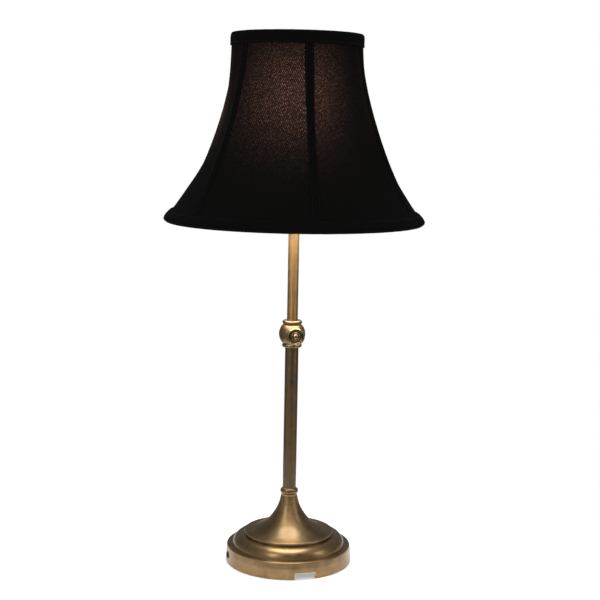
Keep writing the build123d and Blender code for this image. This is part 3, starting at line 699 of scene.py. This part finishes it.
def thread_finish(name, back, shaded_valley):
    """Spun polyester thread: two plies laid together, with a slight shine on their round backs, and
    painted shade in the valleys between them.
    """
    made, tree = material(name)
    if not tree:
        return made
    place = add(tree, "TexCoord").outputs["Object"]
    # the plies are 0.2 mm; drawn at 0.35 mm, of which a unit of the wave's scale has twenty
    plies = add(tree, "TexWave",
                {"Vector": place, "Scale": 1 / (20 * 0.35 * MM), "Distortion": 0.6},
                wave_type="BANDS", bands_direction="DIAGONAL").outputs["Fac"]
    tone = add(tree, "Mix RGBA", {"Factor": plies, "A": linear(shaded_valley), "B": linear(back)})
    bump = add(tree, "Bump", {"Height": plies, "Strength": 0.5, "Distance": 0.06 * MM})
    return surfaced(made, {"Base Color": tone, "Roughness": 0.55, "Specular IOR Level": 0.22,
                           "Sheen Weight": 0.08, "Normal": bump})


def frosted_glass(glow):
    """Frosted bulb glass lit from inside: brightest round the filament, dimmer at the neck."""
    made, tree = material("Frosted bulb glass")
    if not tree:
        return made
    place = add(tree, "TexCoord").outputs["Object"]
    neck, filament = 492.0, 535.0
    height = add(tree, "SeparateXYZ", {"Vector": place}).outputs["Z"]
    fall = add(tree, "MapRange SMOOTHSTEP",
               {"Value": height, "From Min": neck * MM, "From Max": filament * MM,
                "To Min": 0.25, "To Max": 1.0})
    shine = add(tree, "Math MULTIPLY", {0: fall, 1: glow})
    frost = add(tree, "TexNoise", {"Vector": place, "Scale": 900.0, "Detail": 2.0})
    bump = add(tree, "Bump", {"Height": frost, "Strength": 0.1, "Distance": 0.05 * MM})
    return surfaced(made, {"Base Color": linear("#F4EFE4"), "Roughness": 0.45, "Normal": bump,
                           "Emission Color": linear("#FFF8EE"), "Emission Strength": shine})


# ---- pieces ----

class LAMP_OT_shade_cloth(bpy.types.Operator):
    """Stretch the six black panels over the frame, each a crowned gore with its weave"""
    bl_idname = "lamp.shade_cloth"
    bl_label = "Shade cloth"

    def execute(self, context):
        settings = context.scene.lamp_shade
        finish = twill_finish(tuple(settings.cloth_colour))
        thick = settings.cloth / MM
        drops, cross = 96, 40
        for index in range(PANELS):
            middle = rib_angle(index + 0.5)
            shift = Vector((index * 17.3, settings.seed * 5.1, 0))
            outer, inner = [], []
            for i, height in enumerate(down(CLOTH_TOP, CLOTH_BOTTOM, drops)):
                half = off_rib(height)[0] * HALF_PANEL
                row, back = [], []
                for j in range(cross + 1):
                    across = -1 + 2 * j / cross
                    at, way = cloth_point(height, across)
                    # waves some 33 mm long and up to 0.35 mm deep, that die out at the seams
                    hold = (1 - across ** 4) * math.sin(math.pi * i / drops) ** 0.5
                    ripple = noise.noise(at * 0.03 + shift) * 0.35 * hold
                    # small gathers where the cloth is pulled over each ring
                    edge = min(i, drops - i) / drops
                    pull = math.exp(-(edge / 0.035) ** 2) * 0.16
                    ripple -= pull * abs(noise.noise(Vector((at.y * 0.16, i * 0.01, 3)) + shift))
                    face = at + way * (min(ripple, 0) - 0.02)
                    uv = (across * half * MM + 0.31 * index, height * MM)
                    row.append((turned(face, middle), uv))
                    back.append((turned(face - way * thick, middle), uv))
                outer.append(row)
                inner.append(back)
            rows = outer + inner[::-1]
            points, uvs = zip(*(corner for row in rows for corner in row))
            faces = ringed(rows, False)
            width, total = cross + 1, len(rows)
            for side in (0, cross):
                for i in range(drops):
                    a, b = i * width + side, (i + 1) * width + side
                    c, d = (total - 2 - i) * width + side, (total - 1 - i) * width + side
                    faces.append((a, b, c, d))
            piece = mesh_piece(f"Cloth_panel_{index + 1}", points, faces, finish, uvs)
            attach(piece, "shade")
            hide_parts(f"shade_panel_{index + 1}")
        return {"FINISHED"}


class LAMP_OT_rib_tapes(bpy.types.Operator):
    """Lay a folded bias tape with rounded edges over each rib"""
    bl_idname = "lamp.rib_tapes"
    bl_label = "Rib tapes"

    def execute(self, context):
        settings = context.scene.lamp_shade
        half, thick = settings.tape_width / MM / 2, settings.tape / MM
        drops, cross = 110, 16
        size = 2 * (cross + 1)
        points, uvs, faces = [], [], []
        for index in range(PANELS):
            shift = Vector((index * 9.7, settings.seed * 2.3, 40))
            start = len(points)
            for height in down(TOP_TRIM_FOOT + 2.0, BOTTOM_TRIM_HEAD - 1.0, drops):
                ridge, run, off = tape_frame(height)
                for layer in (1, 0):
                    for j in range(cross + 1):
                        share = -1 + 2 * (j if layer else cross - j) / cross
                        side = 1 if share >= 0 else -1
                        reach = abs(share) * half * (1 + 0.02 * noise.noise(
                            Vector((height * 0.06, side, 5)) + shift))
                        # the tape is round over the rib and lies flat beside it
                        rise = Vector((1, 0, 0)).lerp(off, min(abs(share) / 0.35, 1.0))
                        # it clears the cloth by 0.1 mm, and its long edges are round
                        lift = 0.1
                        if layer:
                            lift += thick * (1 - abs(share) ** 6) ** 0.5
                            lift += 0.06 * noise.noise(Vector((height * 0.12, share, 9)) + shift)
                        at = ridge + run * reach + rise.normalized() * lift
                        points.append(turned(Vector((at.x, at.y * side, at.z)), rib_angle(index)))
                        uvs.append((j / cross * half * 2 * MM, height * MM))
            for i in range(drops):
                for j in range(size):
                    a, b = start + i * size + j, start + i * size + (j + 1) % size
                    faces.append((a, b, b + size, a + size))
            faces.append(tuple(start + j for j in range(size)))
            faces.append(tuple(start + drops * size + j for j in range(size))[::-1])
        piece = mesh_piece("Rib_tapes", points, faces, tape_finish(), uvs)
        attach(piece, "shade")
        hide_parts("shade_tapes")
        return {"FINISHED"}


def trim_shape(seed, tape_bump, crossing):
    """How a bias trim's roll swells, puckers and climbs over the rib tapes where they cross it."""
    def shape(radius, height, angle):
        way = Vector((math.cos(angle), math.sin(angle), 0))
        swell = 0.22 * noise.noise(way * 9 + Vector((0, 0, height * 0.15 + seed)))
        swell += 0.12 * noise.noise(way * 34 + Vector((0, 0, height * 0.3 + seed)))
        near = ((angle - rib_angle(0) + HALF_PANEL) % (2 * HALF_PANEL) - HALF_PANEL) * radius
        bump = tape_bump * math.exp(-(near / 4.5) ** 2)
        bump *= math.exp(-((height - crossing) / 7) ** 2)
        return radius + swell + bump, height + 0.1 * noise.noise(way * 12 + Vector((5, seed, 0)))
    return shape


class LAMP_OT_shade_trims(bpy.types.Operator):
    """Roll the bias trims round the top and bottom rings, slightly puckered by hand"""
    bl_idname = "lamp.shade_trims"
    bl_label = "Shade trims"

    def execute(self, context):
        settings = context.scene.lamp_shade
        # each roll's section: along the cloth, in round the wire ring, and back over the outside
        foot, inner, head = off_rib(TOP_TRIM_FOOT)[0], off_rib(TOP_RING)[0] - 4.6, CLOTH_TOP + 0.1
        top = [(foot + 0.12, TOP_TRIM_FOOT), (off_rib(618)[0] + 0.12, 618),
               (off_rib(CLOTH_TOP)[0] + 0.12, head), (inner, head), (inner, head - 5.0),
               (inner - 0.8, head - 5.0), (inner - 0.8, head + 0.2), (73.0, 626.5),
               (76.2, head + 1.2), (77.2, 620.5), (76.9, 615.5), (foot + 1.3, TOP_TRIM_FOOT - 0.1)]
        floor = CLOTH_BOTTOM + 0.6
        bottom = [off_rib(BOTTOM_TRIM_HEAD, 0.12), off_rib(418, 0.1), off_rib(floor, 0.1),
                  off_rib(floor, -4.5), off_rib(421.5, -4.6), off_rib(421.5, -5.4),
                  off_rib(floor - 1.1, -5.3), off_rib(floor - 1.9, -2.4),
                  off_rib(floor - 1.5, 1.2), off_rib(415, 2.5), off_rib(419.5, 2.2),
                  off_rib(BOTTOM_TRIM_HEAD + 0.5, 1.1)]
        for name, node, line, crossing in (
                ("Top_trim", "shade_trim_top", top, TOP_TRIM_FOOT + 3),
                ("Bottom_trim", "shade_trim_bottom", bottom, BOTTOM_TRIM_HEAD - 3)):
            profile = [tuple(p) for p in rounded(line, 2)]
            piece = lathe_piece(name, profile, tape_finish(), 360,
                                trim_shape(settings.seed + len(name), 0.5, crossing))
            ring_uvs(piece.data)
            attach(piece, "shade")
            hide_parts(node)
        return {"FINISHED"}


class LAMP_OT_shade_lining(bpy.types.Operator):
    """Hang the satin lining inside the ribs, in six gores with a seam at each rib"""
    bl_idname = "lamp.shade_lining"
    bl_label = "Shade lining"

    def execute(self, context):
        settings = context.scene.lamp_shade
        inset, thick = 3.95, settings.lining / MM
        drops, cross = 90, 26
        steps = list(enumerate(down(TOP_RING - 3, BOTTOM_RING + 4, drops)))
        rows, uvs = [], []
        for depth, order in ((inset, steps), (inset + thick, steps[::-1])):
            for step, height in order:
                row = []
                for index in range(PANELS):
                    shift = Vector((index * 13.1, settings.seed * 3.7, 70))
                    for j in range(cross):
                        across = -1 + 2 * j / cross
                        at, way = cloth_point(height, across, depth)
                        # it hangs in waves of up to 0.5 mm and is drawn in at each seam
                        hold = (1 - across ** 2) * math.sin(math.pi * step / drops) ** 0.6
                        soft = 0.5 * hold * noise.noise(at * 0.035 + shift)
                        seam = 0.35 * math.exp(-((1 - abs(across)) * 20) ** 2)
                        at = at - way * (abs(soft) + seam)
                        row.append(turned(at, rib_angle(index + 0.5)))
                        uvs.append((across * at.length * 0.5 * MM + 0.3 * index, height * MM))
                rows.append(row)
        points = [p for row in rows for p in row]
        piece = mesh_piece("Satin_lining", points, ringed(rows, True),
                           satin_finish(tuple(settings.lining_colour)), uvs)
        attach(piece, "shade")
        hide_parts("shade_lining")
        return {"FINISHED"}


class LAMP_OT_shade_stitches(bpy.types.Operator):
    """Sew the tapes, the trims and the lining with even rows of stitches"""
    bl_idname = "lamp.shade_stitches"
    bl_label = "Shade stitches"

    def execute(self, context):
        settings = context.scene.lamp_shade
        self.outside(settings, settings.stitch / MM)
        self.inside(settings, settings.stitch / MM)
        return {"FINISHED"}

    def outside(self, settings, step):
        """Along each tape, 1.5 mm in from both edges, and round both trims."""
        tapes, lines = skin("Rib_tapes"), []
        half = settings.tape_width / MM / 2 - 1.5
        for index in range(PANELS):
            for side in (-1, 1):
                places, ways = [], []
                for height in down(TOP_TRIM_FOOT - 1.0, BOTTOM_TRIM_HEAD + 1.5, 80):
                    ridge, run, off = tape_frame(height)
                    at = ridge + run * half + off * 8
                    at, way = (at.x, at.y * side, at.z), (-off.x, -off.y * side, 0)
                    places.append(turned(Vector(at), rib_angle(index)) * MM)
                    ways.append(turned(Vector(way), rib_angle(index)))
                lines.append((land(tapes, places, ways), False))
        trims = skin("Top_trim", "Bottom_trim")
        for height in (TOP_TRIM_FOOT + 2.0, BOTTOM_TRIM_HEAD - 1.6):
            ways = [-way for way in compass(360)]
            places = [Vector((0, 0, height * MM)) - way * 0.2 for way in ways]
            lines.append((land(trims, places, ways), True))
        piece = row_piece("Black_stitches", lines,
                          thread_finish("Black thread", "#0D0D0E", "#080808"), settings.seed,
                          Step=step, Length=step * 0.66, Thickness=0.34, Rise=0.05, Turn=0.06,
                          Unevenness=0.07)
        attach(piece, "shade")

    def inside(self, settings, step):
        """Down the lining, 2.4 mm off both sides of each seam, and round its hem."""
        lining, lines = skin("Satin_lining"), []
        for index in range(PANELS):
            for side in (-1, 1):
                places, ways = [], []
                for height in down(TOP_RING - 10, BOTTOM_RING + 12, 80):
                    bearing = rib_angle(index) + side * 2.4 / off_rib(height)[0]
                    places.append(Vector((0, 0, height * MM)))
                    ways.append(Vector((math.cos(bearing), math.sin(bearing), 0)))
                lines.append((land(lining, places, ways), False))
        hem = Vector((0, 0, (BOTTOM_RING + 10) * MM))
        lines.append((land(lining, [hem] * 360, compass(360)), True))
        piece = row_piece("Lining_stitches", lines,
                          thread_finish("Cream thread", "#E9DABC", "#CDBB98"),
                          settings.seed + 1, Step=step * 1.25, Length=step * 0.8, Thickness=0.3,
                          Rise=0.05, Turn=0.0, Unevenness=0.05)
        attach(piece, "shade")


class LAMP_OT_brass_ridges(bpy.types.Operator):
    """Roll the crimp round the socket's cap and the grip round the finial's foot"""
    bl_idname = "lamp.brass_ridges"
    bl_label = "Brass ridges"

    def execute(self, context):
        finishes = brasses(context.scene.lamp_metal)
        ways = compass(96)
        for name, body, slot, radius, height, count, length, width in (
                ("Socket_crimp", "upper", "bright_brass", 19.38, 444.3, 48, 3.0, 1.1),
                ("Finial_grip", "finial", "antique_brass", 6.48, 602.6, 32, 1.0, 0.6)):
            line = [(way * radius * MM + Vector((0, 0, height * MM)), way) for way in ways]
            girth = len(ways) * 2 * radius * math.sin(math.pi / len(ways))
            piece = row_piece(name, [(line, True)], finishes[slot], 3, Step=girth / count,
                              Length=length, Thickness=width, Rise=0.06, Turn=math.pi / 2,
                              Unevenness=0.0)
            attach(piece, body)
        return {"FINISHED"}


class LAMP_OT_finishes(bpy.types.Operator):
    """Give each solid of the frame that stays in sight its finish"""
    bl_idname = "lamp.finishes"
    bl_label = "Finishes"

    def execute(self, context):
        finishes = brasses(context.scene.lamp_metal)
        finishes["bulb_glass"] = frosted_glass(context.scene.lamp_stage.glow)
        for slot, recipe in PLAIN_FINISHES.items():
            finishes[slot] = plain_finish(*recipe)
        for part in frame["record"]["subparts"]:
            node, slot = part["node"], part["material_slot"]
            if not bpy.data.objects[node].hide_render:
                dress(node, finishes[node if node in finishes else slot])
        return {"FINISHED"}


# ---- stage ----

class LAMP_OT_stage(bpy.types.Operator):
    """Set the pale floor, the soft light, the dark cards that the brass reflects and the camera"""
    bl_idname = "lamp.stage"
    bl_label = "Stage"

    def execute(self, context):
        scene = context.scene
        settings = scene.lamp_stage
        scene.view_settings.view_transform = "Standard"
        view = math.atan2(settings.place[0], -settings.place[1])
        self.camera(scene, settings, view)
        self.world(scene, settings)
        self.floor()
        self.cards(view)
        self.lights(settings, view)
        return {"FINISHED"}

    def camera(self, scene, settings, view):
        data = bpy.data.cameras.new("Camera")
        data.lens, data.sensor_width = settings.lens, 36
        data.clip_start, data.clip_end = 0.05, 50
        camera = in_scene("Camera", data)
        camera.location = settings.place
        turn = (Matrix.Rotation(view - settings.yaw, 4, "Z")
                @ Matrix.Rotation(math.pi / 2 - settings.pitch, 4, "X")
                @ Matrix.Rotation(settings.roll, 4, "Z"))
        camera.rotation_mode = "QUATERNION"
        camera.rotation_quaternion = turn.to_quaternion()
        scene.camera = camera

    def world(self, scene, settings):
        """White where it is seen or mirrored, and less bright where it lights."""
        world = bpy.data.worlds.new("Studio")
        world.use_nodes = True
        tree = world.node_tree
        tree.nodes.clear()
        ray = add(tree, "LightPath").outputs
        seen = add(tree, "Math MAXIMUM", {0: ray["Is Camera Ray"], 1: ray["Is Glossy Ray"]})
        seen = add(tree, "Math MAXIMUM", {0: seen, 1: ray["Is Transmission Ray"]})
        strength = add(tree, "MapRange", {"Value": seen, "To Min": settings.sky, "To Max": 1.0})
        back = add(tree, "Background", {"Color": (1, 1, 1, 1), "Strength": strength})
        add(tree, "OutputWorld", {"Surface": back})
        scene.world = world

    def floor(self):
        """A pale disc that takes the lamp's shadow and fades out before its edge."""
        made, tree = material("Pale studio floor")
        place = add(tree, "TexCoord").outputs["Object"]
        far = add(tree, "VectorMath LENGTH", {0: place})
        fade = add(tree, "MapRange SMOOTHSTEP", {"Value": far, "From Min": 0.14, "From Max": 0.5})
        grain = add(tree, "TexNoise", {"Vector": place, "Scale": 400.0})
        tone = add(tree, "Mix RGBA",
                   {"Factor": grain, "A": linear("#F2F2F2"), "B": linear("#F5F5F5")})
        # a little light of its own, for the camera, keeps it near the white round it
        ray = add(tree, "LightPath").outputs
        dimmer = add(tree, "Math MULTIPLY", {0: ray["Is Glossy Ray"], 1: 0.1})
        seen = add(tree, "Math MAXIMUM", {0: ray["Is Camera Ray"], 1: dimmer})
        lift = add(tree, "Math MULTIPLY", {0: seen, 1: 0.37})
        matt = add(tree, "BsdfDiffuse", {"Color": tone})
        white = add(tree, "Emission", {"Color": (1, 1, 1, 1), "Strength": lift})
        lit = add(tree, "AddShader", {0: matt, 1: white})
        clear = add(tree, "BsdfTransparent")
        shader = add(tree, "MixShader", {"Fac": fade, 1: lit, 2: clear})
        add(tree, "OutputMaterial", {"Surface": shader})
        work = bmesh.new()
        bmesh.ops.create_circle(work, cap_ends=True, radius=0.6, segments=96)
        floor = self.prop("Floor", work, made, -0.2 * MM)

    def cards(self, view):
        """A tent that only reflections see: pale walls at both sides and a pale panel overhead,
        dark between them, so that the brass has darks and lights to show its turning."""
        made, tree = material("Grey card")
        place = add(tree, "TexCoord").outputs["Object"]
        # the walls are palest 71 degrees round from the front, where the cosine is 0.33
        beside = add(tree, "Math SUBTRACT", {0: facing(tree, place, view), 1: 0.33})
        apart = add(tree, "Math ABSOLUTE", {0: beside})
        wall = add(tree, "MapRange SMOOTHSTEP",
                   {"Value": apart, "From Min": 0.42, "From Max": 0.12, "To Min": 0.16,
                    "To Max": 0.34})
        direction = add(tree, "VectorMath NORMALIZE", {0: place})
        # the panel is overhead, 66 degrees up at the back
        aim = heading(view + math.pi, math.radians(66))
        toward = add(tree, "VectorMath DOT_PRODUCT", {0: direction, 1: aim})
        panel = add(tree, "MapRange SMOOTHSTEP",
                    {"Value": toward, "From Min": 0.72, "From Max": 0.98, "To Max": 1.1})
        total = add(tree, "Math ADD", {0: wall, 1: panel})
        shader = add(tree, "Emission", {"Color": linear("#F4F4F2"), "Strength": total})
        add(tree, "OutputMaterial", {"Surface": shader})
        tall, wide = 2.4, 1.6
        work = bmesh.new()
        bmesh.ops.create_cone(work, cap_ends=True, segments=64, radius1=wide, radius2=wide,
                              depth=tall)
        bmesh.ops.reverse_faces(work, faces=work.faces)
        cards = self.prop("Cards", work, made, tall / 2 - 0.02)
        for ray in ("camera", "diffuse", "transmission", "shadow", "volume_scatter"):
            setattr(cards, f"visible_{ray}", False)

    def prop(self, name, work, finish, height):
        """An object of the shape in a bmesh, raised to a height in metres."""
        mesh = bpy.data.meshes.new(name)
        work.to_mesh(mesh)
        work.free()
        mesh.materials.append(finish)
        made = in_scene(name, mesh)
        made.location.z = height
        return made

    def lights(self, settings, view):
        """Two softboxes in front, and the bulb's light that falls from the open shade."""
        target, distance, rise = Vector((0, 0, 0.2)), 1.15, math.radians(27)
        for name, turn, share in (("Softbox_left", -34, 0.75), ("Softbox_right", 72, 0.4)):
            data = bpy.data.lights.new(name, "AREA")
            data.shape, data.size, data.size_y = "RECTANGLE", 0.28, 0.45
            data.energy = settings.softbox * share
            light = in_scene(name, data)
            away = heading(view + math.radians(turn), rise)
            light.location = target + away * distance
            light.rotation_mode = "QUATERNION"
            light.rotation_quaternion = away.to_track_quat("Z", "Y")
        data = bpy.data.lights.new("Shade_pool", "AREA")
        data.shape, data.size, data.energy = "DISK", 0.27, settings.pool
        data.color = linear("#FFFAF2")[:3]
        light = in_scene("Shade_pool", data)
        light.location.z = (CLOTH_BOTTOM + 6) * MM
        light.visible_camera = False
        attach(light, "upper")


class LAMP_PT_panel(bpy.types.Panel):
    """The lamp's pieces in the order that they are made"""
    bl_idname = "LAMP_PT_panel"
    bl_label = "Table lamp"
    bl_space_type = "VIEW_3D"
    bl_region_type = "UI"
    bl_category = "Lamp"

    def draw(self, context):
        for operator in OPERATORS:
            self.layout.operator(operator.bl_idname)


OPERATORS = (LAMP_OT_stage, LAMP_OT_shade_cloth, LAMP_OT_rib_tapes, LAMP_OT_shade_trims,
             LAMP_OT_shade_lining, LAMP_OT_shade_stitches, LAMP_OT_brass_ridges,
             LAMP_OT_finishes)
CLASSES = (LampShadeSettings, LampMetalSettings, LampStageSettings) + OPERATORS + (LAMP_PT_panel,)


def register():
    for kind in CLASSES:
        bpy.utils.register_class(kind)
    bpy.types.Scene.lamp_shade = PointerProperty(type=LampShadeSettings)
    bpy.types.Scene.lamp_metal = PointerProperty(type=LampMetalSettings)
    bpy.types.Scene.lamp_stage = PointerProperty(type=LampStageSettings)


def unregister():
    for name in ("lamp_shade", "lamp_metal", "lamp_stage"):
        delattr(bpy.types.Scene, name)
    for kind in reversed(CLASSES):
        bpy.utils.unregister_class(kind)


def main():
    register()
    for operator in OPERATORS:
        group, name = operator.bl_idname.split(".")
        getattr(getattr(bpy.ops, group), name)()


if __name__ == "__main__":
    main()
